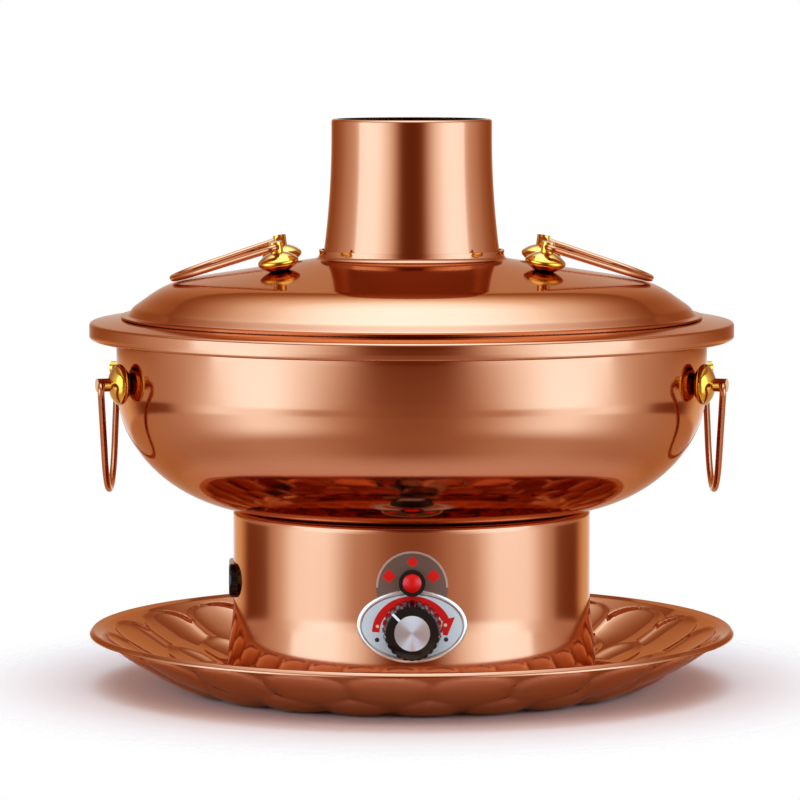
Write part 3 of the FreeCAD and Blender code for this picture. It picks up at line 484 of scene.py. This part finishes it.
def spun_aluminium():
    """Aluminium turned on a lathe: the tool's circles stretch each light into two opposite fans."""
    material, tree, coords = start_material("aluminium, lathe-turned face")
    place = add(tree, "ShaderNodeMapping", {"Location": (0.0, 0.0, -KNOB_Z * MM)},
                {"Vector": (coords, "Object")})
    rings = add(tree, "ShaderNodeTexWave", {"Scale": 0.8 / MM, "Distortion": 0.2},
                {"Vector": (place, "Vector")}, wave_type="RINGS", rings_direction="Y")
    spread = add(tree, "ShaderNodeMapRange", {"To Min": 0.33, "To Max": 0.38},
                 {"Value": (rings, "Fac")})
    circles = add(tree, "ShaderNodeTangent", direction_type="RADIAL", axis="Y")
    shader = add(tree, "ShaderNodeBsdfPrincipled",
                 {"Base Color": linear("#F0F1F2"), "Metallic": 0.8, "Anisotropic": 0.95},
                 {"Roughness": (spread, "Result"), "Tangent": (circles, "Tangent")})
    finish_material(tree, shader)
    return material


SPUN_ALUMINIUM = spun_aluminium()

# ---------------------------------------------------------------- tray

def petal_relief(r, angle):
    """Height of the embossed petals, pressed from inside.

    Two rings of petals overlap like scales, the inner ring half a petal round from the outer. A
    petal is as wide as its pitch up to its shoulder and then closes in a half ellipse. Its face
    is a pillow: one minus the sum of two powers, of the share across from its middle and of the
    share from its shoulder to its tip, and a root of that. The higher of the two pillows stands,
    and as the inner ring is the taller one, its outline is a step.
    """
    pitch = 2 * math.pi / PETALS
    from_seam = angle + math.pi / 2 - math.radians(PETAL_PHASE)

    def ring(shift, tip_r, rise):
        across = ((from_seam / pitch + shift) % 1.0) * 2 - 1
        beyond = np.clip((r - tip_r + PETAL_TIP) / PETAL_TIP, 0, None)
        outline = np.abs(across) ** PETAL_CORNER + beyond ** PETAL_CORNER
        return rise * np.clip(1 - outline, 0, 1) ** PETAL_PILLOW

    base_r, base_w = PETAL_BASE
    foot = np.clip((r - base_r) / base_w, 0, 1)
    foot = foot * foot * (3 - 2 * foot)
    return foot * np.maximum(ring(0.5, *INNER_PETAL), ring(0.0, *OUTER_PETAL))


tray_rim_r = node_radius("drip_tray")
tray_slope = TRAY_BRIM_RISE / TRAY_BRIM_W
tray_edge_r = tray_rim_r - TRAY_EDGE[0]
tray_fall = TRAY_EDGE[1] / TRAY_EDGE[0]
tray_edge_z = node_top("drip_tray") + over_arc(TRAY_EDGE_R, tray_slope, tray_fall)
tray_brim_r = tray_rim_r - TRAY_BRIM_W
tray = spun_sheet("tray_with_petals", [
    (0, TRAY_SHEET, 0),
    (TRAY_FLOOR_R, TRAY_SHEET, TRAY_BENDS[0]),
    (*TRAY_WAIST, TRAY_BENDS[1]),
    (tray_brim_r, tray_edge_z - (tray_edge_r - tray_brim_r) * tray_slope, TRAY_BENDS[2]),
    (tray_edge_r, tray_edge_z, TRAY_EDGE_R),
    (tray_rim_r, tray_edge_z - TRAY_EDGE[1], TRAY_EDGE_R),
    (tray_rim_r, tray_edge_z - TRAY_EDGE[1] - TRAY_LIP, 0),
], -TRAY_SHEET, COPPER_MIRROR, "tray", turns=PETALS * 24, step=0.95,
    relief=lambda r, a: -petal_relief(r, a), coarse_inside=100.0)
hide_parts("drip_tray")

# ---------------------------------------------------------------- bowl, chimney, lid and drum

bowl_floor = node_foot("bowl") + BOWL_SHEET
bowl_inner = BOWL_SIDE_R - BOWL_SHEET
low_r, high_r = oval_radii(bowl_inner - BOWL_FLAT_R, BOWL_WALL_Z - bowl_floor)
bend = math.tan(math.radians(45 / 2))  # from a 45-degree corner to its arc's end, per radius
bowl_neck_r = flare_radius(bowl_inner - BOWL_MOUTH_R, BOWL_NECK[1] - BOWL_NECK[0])
flange_r = node_radius("bowl")
flange_slope = math.tan(math.radians(FLANGE_FALL))
crest_z = node_top("bowl") + over_arc(FLANGE_CREST_R, flange_slope)
bowl = spun_sheet("bowl_spun", [
    (BOWL_HOLE_R, bowl_floor, 0),
    (BOWL_FLAT_R + bend * low_r, bowl_floor, low_r),
    (bowl_inner, BOWL_WALL_Z - bend * high_r, high_r),
    (bowl_inner, BOWL_NECK[0], bowl_neck_r),
    (BOWL_MOUTH_R, BOWL_NECK[1], bowl_neck_r),
    (BOWL_MOUTH_R, crest_z, FLANGE_CREST_R),
    (flange_r, crest_z - (flange_r - BOWL_MOUTH_R) * flange_slope, FLANGE_EDGE_R),
    (flange_r, node_top("bowl") - FLANGE_LIP_H, FLANGE_CURL[1]),
    (flange_r - FLANGE_CURL[0], node_top("bowl") - FLANGE_LIP_H, 0),
], -BOWL_SHEET, COPPER_POLISHED, "pot", turns=320, step=2.5)
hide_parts("bowl")

chimney_foot = bowl_floor + CHIMNEY_SHEET
flare_r = flare_radius(CHIMNEY_FOOT_R - CHIMNEY_TOP_R, CHIMNEY_FLARE[1] - CHIMNEY_FLARE[0])
chimney = spun_sheet("chimney_spun", [
    (CHIMNEY_FOOT_R + CHIMNEY_FOOT_W, chimney_foot, 0),
    (CHIMNEY_FOOT_R, chimney_foot, CHIMNEY_EDGE_R),
    (CHIMNEY_FOOT_R, CHIMNEY_FLARE[0], flare_r),
    (CHIMNEY_TOP_R, CHIMNEY_FLARE[1], flare_r),
    (CHIMNEY_TOP_R, node_top("chimney"), CHIMNEY_EDGE_R),
    (CHIMNEY_TOP_R - CHIMNEY_LIP_IN, node_top("chimney"), 0),
], CHIMNEY_SHEET, COPPER_MIRROR, "pot", turns=224, step=3.0)
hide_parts("chimney")


def lid_corners():
    """Corners of the lid's outer face: one run after another from its edge in to its neck."""
    r, z = node_radius("lid_dome"), node_foot("lid_dome") + LID_SHEET
    corners = [(r, z, 0)]
    for (width, rise), radius in zip(LID_RUNS, LID_BENDS):
        r, z = r - width, z + rise
        corners.append((r, z, radius))
    neck_r = node_radius("lid_collar") - COLLAR_PAST_NECK
    neck_z = z + LID_CROWN_RISE
    return corners + [(neck_r, neck_z, LID_BENDS[-1]), (neck_r, neck_z + LID_NECK_UP, 0)]


lid = spun_sheet("lid_spun", lid_corners(), LID_SHEET, COPPER_POLISHED, "lid",
                 turns=320, step=2.0)
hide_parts("lid_dome")


def drum_holes(angle, z, r):
    """Cells of the drum's wall that its bush, its lamp or its inlet passes through."""
    x, y = r * np.cos(angle), r * np.sin(angle)
    front = y < 0
    bush = front & (x ** 2 + (z - KNOB_Z) ** 2 < BUSH_HOLE_R ** 2)
    lamp = front & (x ** 2 + (z - LAMP_Z) ** 2 < LAMP_HOLE_R ** 2)
    centre = math.pi + math.radians(INLET_TURN)
    end_r = INLET_HOLE[1] / 2
    level = np.abs((angle - centre + math.pi) % (2 * math.pi) - math.pi) * r
    beyond = np.clip(level - (INLET_HOLE[0] / 2 - end_r), 0, None)
    inlet = beyond ** 2 + (z - INLET_Z) ** 2 < end_r ** 2
    return (bush | lamp | inlet) & (r > DRUM_R - 2 * DRUM_SHEET)


drum_foot_r = node_radius("base_shell")
drum_flare_r = flare_radius(drum_foot_r - DRUM_R, DRUM_FLARE[1] - DRUM_FLARE[0])
drum = spun_sheet("drum_spun", [
    (drum_foot_r, node_foot("base_shell"), 0),
    (drum_foot_r, DRUM_FLARE[0], drum_flare_r),
    (DRUM_R, DRUM_FLARE[1], drum_flare_r),
    (DRUM_R, node_top("base_shell"), DRUM_EDGE_R),
    (DRUM_SEAT_R, node_top("base_shell"), 0),
], DRUM_SHEET, COPPER_POLISHED, "pot", turns=360, step=1.5, holes=drum_holes)
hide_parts("base_shell")

# ---------------------------------------------------------------- pieces kept as built

for node, finish in {
    "lid_collar": COPPER_MIRROR, "knob": PHENOLIC, "knob_insert": SPUN_ALUMINIUM,
    "dial_plate": DIAL_SILVER, "lamp_bezel": PHENOLIC, "lamp_lens": RED_ACRYLIC,
    "inlet_body": PHENOLIC, "indicator_label": SMOKED_FILM,
}.items():
    polished(node, finish)
for side in ("left", "right"):
    for carrier in ("bowl", "lid"):
        polished(f"{carrier}_bail_{side}", COPPER_WIRE)
        for end in ("front", "rear"):
            polished(f"{carrier}_ball_{side}_{end}", BRASS)

for nodes, finish in (
    (("lid_locating_ring",), COPPER_BRUSHED),
    (("chimney_base_plate", "base_cover", "heating_element", "heat_shield", "clamp_studs",
      "clamp_nuts", "cover_nuts", "sensor_bulb", "thermal_fuse", "thermostat_nut",
      "thermostat_shaft", "inlet_pins"), STAINLESS),
    (("heating_plate",), CAST_ALUMINIUM),
    (("thermostat_body", "lamp_body", "terminal_block"), NYLON),
    (("rubber_feet",), RUBBER),
):
    for node in nodes:
        slots = frame["nodes"][node].data.materials
        slots.clear()
        slots.append(finish)

# ---------------------------------------------------------------- dial graphics

def on_drum(flat, lift):
    """Points (x, z) seen from the front, laid on the drum's face and lifted off it.

    The depth is the root of the lifted radius squared less x squared.
    """
    x, z = flat[..., 0], flat[..., 1]
    return np.stack([x, -np.sqrt((drum_radius(z) + lift) ** 2 - x ** 2), z], -1)


def printed(name, flat, base, ink, round_columns=False):
    """Ink laid on the drum's face or on a sheet of thickness base, let in as deep as it stands."""
    near, far = on_drum(flat, base - INK_T), on_drum(flat, base + INK_T)
    return slab(name, near, far, ink, "pot", round_columns)


def ellipse_band(centre_z, inner, outer, start, end, count=64):
    """Grid (x, z) between two ellipses round (0, centre_z), over a range of angles."""
    angle = np.radians(np.linspace(start, end, count))
    half = np.array([inner, [(a + b) / 2 for a, b in zip(inner, outer)], outer])
    return np.stack([half[:, :1] * np.cos(angle), centre_z + half[:, 1:] * np.sin(angle)], -1)


def filled(outline, rings=3):
    """Grid (x, z) that shrinks a closed outline to its middle in equal rings."""
    outline = np.asarray(outline, float)
    middle = outline.mean(0)
    share = np.linspace(0, 1, rings + 1)[:, None, None]
    return middle + share * (outline - middle)


def side_points(corners, per_side=4):
    """Closed outline of straight sides, each divided evenly."""
    corners = np.asarray(corners, float)
    share = np.linspace(0, 1, per_side, endpoint=False)[:, None]
    return np.concatenate([a + share * (b - a) for a, b in zip(corners, np.roll(corners, -1, 0))])


def disc(x, z, radius, count=24):
    """Outline of a circle round (x, z)."""
    angle = np.linspace(0, 2 * math.pi, count, endpoint=False)
    return np.stack([x + radius * np.cos(angle), z + radius * np.sin(angle)], -1)


def lozenge(x, z, width):
    """Outline of a square stood on its corner."""
    half = width / 2
    return side_points([(x + half, z), (x, z + half), (x - half, z), (x, z - half)])


def plate_bead():
    """Bright rolled edge of the oval plate, cut out where the lamp's bezel stands.

    A low arc across, 0 to 180 degrees, carried round the ellipse.
    """
    half_w, bead_h = PLATE_BEAD
    round_angle = np.linspace(0, 2 * math.pi, 160, endpoint=False)
    across = np.linspace(0, math.pi, 9)
    inset = half_w * (1 + np.cos(across)[:, None])
    flat = np.stack([(PLATE_HALF[0] - inset) * np.cos(round_angle),
                     PLATE_Z + (PLATE_HALF[1] - inset) * np.sin(round_angle)], -1)
    height = bead_h * np.sin(across)[:, None]
    clear_of_lamp = np.hypot(flat[..., 0], flat[..., 1] - LAMP_Z) > LAMP_CLEAR_R
    kept = clear_of_lamp[:-1] & clear_of_lamp[1:]
    kept = kept & np.roll(kept, -1, 1)
    slab("dial_edge", on_drum(flat, PLATE_T - INK_T), on_drum(flat, PLATE_T + height), DIAL_EDGE,
         "pot", True, kept)


plate_bead()
printed("dial_band", ellipse_band(**DIAL_BAND), PLATE_T, RED_INK)
printed("dial_arrow", filled(side_points(DIAL_ARROW)), PLATE_T, RED_INK, True)
for number, (x, z) in enumerate(DIAL_DOTS):
    dot = filled(disc(x, z, DIAL_DOT_R))
    printed(f"dial_dot_{number}", dot, PLATE_T + 2 * INK_T, CREAM_INK, True)
for number, (x, z) in enumerate(DIAL_MARKS):
    printed(f"dial_mark_{number}", filled(disc(x, z, DIAL_MARK_R)), PLATE_T, BLACK_INK, True)
for number, (x, z, width) in enumerate(LABEL_LOZENGES):
    printed(f"label_lozenge_{number}", filled(lozenge(x, z, width)), LABEL_T, RED_INK, True)


def label_rim():
    """Paler cut edge of the round label, above the plate."""
    angle = np.radians(np.linspace(-1.5, 181.5, 60))
    radius = LABEL_R - LABEL_RIM_W * np.array([1, 0.5, 0])[:, None]
    flat = np.stack([radius * np.cos(angle), LABEL_Z + radius * np.sin(angle)], -1)
    printed("label_rim", flat, LABEL_T, FILM_EDGE)


label_rim()


def knob_pointer():
    """White line on the knob's face, from the insert to the edge."""
    face_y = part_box("knob")[0].y / MM
    along, across = np.meshgrid(np.linspace(*POINTER_REACH, 4),
                                np.linspace(-POINTER_HALF_W, POINTER_HALF_W, 3), indexing="ij")
    turn = math.radians(POINTER_TURN)
    x = along * math.cos(turn) - across * math.sin(turn)
    z = KNOB_Z + along * math.sin(turn) + across * math.cos(turn)
    near = np.stack([x, np.full_like(x, face_y + INK_T), z], -1)
    far = np.stack([x, np.full_like(x, face_y - INK_T), z], -1)
    slab("knob_pointer", near, far, WHITE_INK, "knob")


knob_pointer()

# ---------------------------------------------------------------- floor, light and camera, in m

TABLE_R = 0.27
TABLE_Z = -0.0002             # just under the tray
TABLE_FADE = (0.165, 0.26)    # distances between which the table top fades away
PAPER = linear("#F3D8CA")     # colour of the table top
FILL = 0.3                    # strength of the world where it lights

TENT_R = 2.1
TENT_Z = (-1.3, 1.3)          # ground sheet and ceiling
GROUND_ROWS = (0.02, 0.7, 1.4)  # radii of the ground sheet's rows
CEILING_Y = 0.1               # middle of the ceiling's diffuser, a little behind the pot
FULL = 6.0                    # radiance that a ramp value of 1 stands for

# Radiance of the tent by degrees from the camera's side, alike to the left and the right: on the
# ground, and at the heights that the bowl's turn, the drum, the bowl and the chimney mirror.
GROUND = ((0, 0.25), (14, 0.28), (30, 0.42), (60, 0.75), (90, 0.5), (120, 0.48), (180, 0.5))
TURN_ZONE = ((0, 0.22), (12, 0.26), (20, 0.42), (30, 0.8), (40, 1.5), (50, 2.2), (62, 2.6),
             (74, 1.9), (90, 0.8), (105, 0.58), (120, 0.53), (180, 0.6))
DRUM_ZONE = ((0, 0.18), (12, 0.24), (20, 0.4), (28, 0.58), (36, 0.66), (42, 1.0), (50, 2.0),
             (57, 2.5), (78, 2.5), (86, 1.6), (92, 1.05), (101, 0.55), (107, 0.12), (122, 0.1),
             (129, 0.1), (135, 0.5), (144, 1.3), (180, 1.3))
BOWL_ZONE = ((0, 0.2), (9, 0.22), (15, 0.3), (22, 0.47), (30, 0.95), (38, 1.8), (47, 2.8),
             (54, 3.35), (68, 3.2), (77, 2.3), (86, 1.3), (96, 0.75), (108, 0.56), (120, 0.55),
             (134, 0.9), (150, 1.0), (180, 0.9))
CHIMNEY_ZONE = ((0, 0.06), (10, 0.07), (17, 0.2), (25, 1.0), (33, 1.8), (42, 2.5), (51, 3.1),
                (78, 3.1), (82.5, 1.3), (92, 0.9), (105, 0.65), (118, 0.4), (140, 0.22),
                (155, 0.3), (167, 0.6), (180, 0.65))
# The zones above the ground with the heights in m between which each takes over.
ZONES = ((TURN_ZONE, -1.25, -0.6), (DRUM_ZONE, -0.35, -0.28), (BOWL_ZONE, -0.14, -0.09),
         (CHIMNEY_ZONE, 0.004, 0.014))
# Radiance of the tent's ceiling by distance in m from its middle.
CEILING = ((0, 3.9), (0.3, 3.7), (0.5, 3.0), (0.7, 2.0), (1.1, 0.75), (1.6, 0.25), (2.2, 0.15))

SOFTBOX = {"place": (0.0, -1.15, 1.2), "width": 1.7, "tall": 0.6, "level": 3.0}
SOFTBOX_AIM_Z = 0.15          # height on the axis that it faces

CAMERA_AT = (-0.0058, -2.2, 0.3297)
CAMERA_DOWN = 4.884           # degrees
CAMERA_LENS = 199.5           # mm, on a sensor 36 mm wide


def sees_white(tree):
    """Light Path values added up: 1 for camera, glossy and transmission rays, 0 for the rest."""
    path = add(tree, "ShaderNodeLightPath")
    two = add(tree, "ShaderNodeMath", operation="ADD", use_clamp=True,
              links={0: (path, "Is Camera Ray"), 1: (path, "Is Glossy Ray")})
    return add(tree, "ShaderNodeMath", links={0: (two, 0), 1: (path, "Is Transmission Ray")},
               operation="ADD", use_clamp=True)


def stage_sheet(name, grid):
    """Object from a round grid of points in m: a single surface, which is part of the studio."""
    index = np.arange(grid.shape[0] * grid.shape[1]).reshape(grid.shape[:2])
    index = np.concatenate([index, index[:, :1]], 1)
    quads = np.stack([index[:-1, :-1], index[1:, :-1], index[1:, 1:], index[:-1, 1:]], -1)
    mesh = bpy.data.meshes.new(name)
    mesh.from_pydata(grid.reshape(-1, 3).tolist(), [], quads.reshape(-1, 4).tolist())
    sheet = bpy.data.objects.new(name, mesh)
    bpy.context.scene.collection.objects.link(sheet)
    return sheet


def round_grid(radii, height):
    """Polar grid (x, y, z) of 72 columns with rows at the given radii."""
    r = np.asarray(radii, float)[:, None]
    angle = np.linspace(0, 2 * math.pi, 72, endpoint=False)
    return np.stack(np.broadcast_arrays(r * np.cos(angle), r * np.sin(angle), height + 0 * r), -1)


def floor():
    """Round table top of pale paper, which fades into the white backdrop.

    Under the tray it is whole and keeps the pot's shadow.
    """
    sheet = stage_sheet("floor", round_grid(np.linspace(0, TABLE_R, 8), TABLE_Z))
    material, tree, coords = start_material("paper, white")
    away = add(tree, "ShaderNodeVectorMath", links={0: (coords, "Object")}, operation="LENGTH")
    fade = add(tree, "ShaderNodeMapRange",
               {"From Min": TABLE_FADE[0], "From Max": TABLE_FADE[1]},
               {"Value": (away, "Value")}, interpolation_type="SMOOTHSTEP")
    paper = add(tree, "ShaderNodeBsdfDiffuse", {"Color": PAPER})
    clear = add(tree, "ShaderNodeBsdfTransparent")
    mix = add(tree, "ShaderNodeMixShader",
              links={0: (fade, "Result"), 1: (paper, 0), 2: (clear, 0)})
    add(tree, "ShaderNodeOutputMaterial", links={"Surface": (mix, 0)})
    sheet.data.materials.append(material)


def white_world():
    """Even world: white where it is seen or mirrored, soft fill where it lights."""
    world = bpy.data.worlds.new("studio")
    bpy.context.scene.world = world
    world.use_nodes = True
    tree = world.node_tree
    tree.nodes.clear()
    fill = add(tree, "ShaderNodeBackground", {"Color": (1, 1, 1, 1), "Strength": FILL})
    white = add(tree, "ShaderNodeBackground", {"Color": (1, 1, 1, 1)})
    mix = add(tree, "ShaderNodeMixShader",
              links={0: (sees_white(tree), 0), 1: (fill, 0), 2: (white, 0)})
    add(tree, "ShaderNodeOutputWorld", links={"Surface": (mix, 0)})


def lamp_colour(level):
    """Colour of a light of this radiance: dim cloth is warm, a bright diffuser is cool."""
    return (0.95 * level ** 0.58, level, level ** 1.3)


def tent_ramp(tree, share, stops):
    """Colour over a share from 0 to 1 of the last stop's place, smooth past all the stops."""
    ramp = add(tree, "ShaderNodeValToRGB", links={"Fac": share})
    ramp.color_ramp.interpolation = "B_SPLINE"
    elements = ramp.color_ramp.elements
    for _ in stops[2:]:
        elements.new(0.5)
    for element, (place, level) in zip(elements, stops):
        element.position = place / stops[-1][0]
        element.color = (*(part / FULL for part in lamp_colour(level)), 1)
    return ramp, 0


def tent_cloth(sheet, material, tree, colour):
    """Gives a sheet of the tent its shine and hides it from the camera."""
    shine = add(tree, "ShaderNodeEmission", {"Strength": FULL}, {"Color": colour})
    add(tree, "ShaderNodeOutputMaterial", links={"Surface": (shine, 0)})
    sheet.data.materials.append(material)
    sheet.visible_camera = False


def tent_wall():
    """Round wall and ground sheet of a light tent: a grid by azimuth and by its outline.

    The outline runs out over the ground and up the wall. Dark felt hangs round the camera, a tall
    diffuser on each flank and grey cloth behind them, each at the levels of its zone, and the
    zones pass into one another from below upwards. The azimuth is the arc tangent of the
    distance to the side over the distance to the front, as a share of half a turn.
    """
    turn = np.radians(np.linspace(-180, 180, 180, endpoint=False))
    r = np.array([*GROUND_ROWS, *[TENT_R] * 12])[:, None]
    z = np.array([*[TENT_Z[0]] * len(GROUND_ROWS), *np.linspace(*TENT_Z, 12)])[:, None]
    grid = np.stack(np.broadcast_arrays(r * np.sin(turn), -r * np.cos(turn), z), -1)
    sheet = stage_sheet("tent_wall", grid)
    material, tree, coords = start_material("tent cloth and felt")
    split = add(tree, "ShaderNodeSeparateXYZ", links={"Vector": (coords, "Object")})
    aside = add(tree, "ShaderNodeMath", links={0: (split, "X")}, operation="ABSOLUTE")
    front = add(tree, "ShaderNodeMath", {1: -1.0}, {0: (split, "Y")}, operation="MULTIPLY")
    azimuth = add(tree, "ShaderNodeMath", links={0: (aside, 0), 1: (front, 0)},
                  operation="ARCTAN2")
    share = add(tree, "ShaderNodeMath", {1: math.pi}, {0: (azimuth, 0)}, operation="DIVIDE")
    level = tent_ramp(tree, (share, 0), GROUND)
    for stops, low, high in ZONES:
        up = add(tree, "ShaderNodeMapRange", {"From Min": low, "From Max": high},
                 {"Value": (split, "Z")}, interpolation_type="SMOOTHSTEP")
        level = (add(tree, "ShaderNodeMix", data_type="RGBA", links={
            0: (up, "Result"), 6: level, 7: tent_ramp(tree, (share, 0), stops)}), 2)
    tent_cloth(sheet, material, tree, level)


def tent_ceiling():
    """Ceiling of the tent: a round diffuser over the pot, brightest in its middle."""
    sheet = stage_sheet("tent_ceiling", round_grid(np.linspace(0, TENT_R, 12), TENT_Z[1]))
    material, tree, coords = start_material("tent ceiling cloth")
    away = add(tree, "ShaderNodeVectorMath", {1: (0.0, CEILING_Y, TENT_Z[1])},
               {0: (coords, "Object")}, operation="DISTANCE")
    share = add(tree, "ShaderNodeMath", {1: float(CEILING[-1][0])}, {0: (away, "Value")},
                operation="DIVIDE")
    tent_cloth(sheet, material, tree, tent_ramp(tree, (share, 0), CEILING))


def softbox(name, place, width, tall, level):
    """Area lamp that faces the pot and shows in no mirror.

    Its face shines with a radiance of level: its power is level times pi times its area.
    """
    data = bpy.data.lights.new(name, "AREA")
    data.shape = "RECTANGLE"
    data.size = width
    data.size_y = tall
    data.energy = level * math.pi * width * tall
    lamp = bpy.data.objects.new(name, data)
    x, y, z = place
    lamp.location = place
    lamp.rotation_euler = (math.atan2(math.hypot(x, y), z - SOFTBOX_AIM_Z), 0, math.atan2(x, -y))
    lamp.visible_camera = False
    lamp.visible_glossy = False
    bpy.context.scene.collection.objects.link(lamp)


def camera():
    """Long lens in front, slightly above the lid and looking slightly down."""
    data = bpy.data.cameras.new("camera")
    data.lens = CAMERA_LENS
    data.sensor_width = 36.0
    eye = bpy.data.objects.new("camera", data)
    eye.location = CAMERA_AT
    eye.rotation_euler = (math.radians(90 - CAMERA_DOWN), 0, 0)
    bpy.context.scene.collection.objects.link(eye)
    bpy.context.scene.camera = eye


floor()
white_world()
tent_wall()
tent_ceiling()
softbox("front top softbox", **SOFTBOX)
camera()
bpy.context.scene.view_settings.view_transform = "Standard"
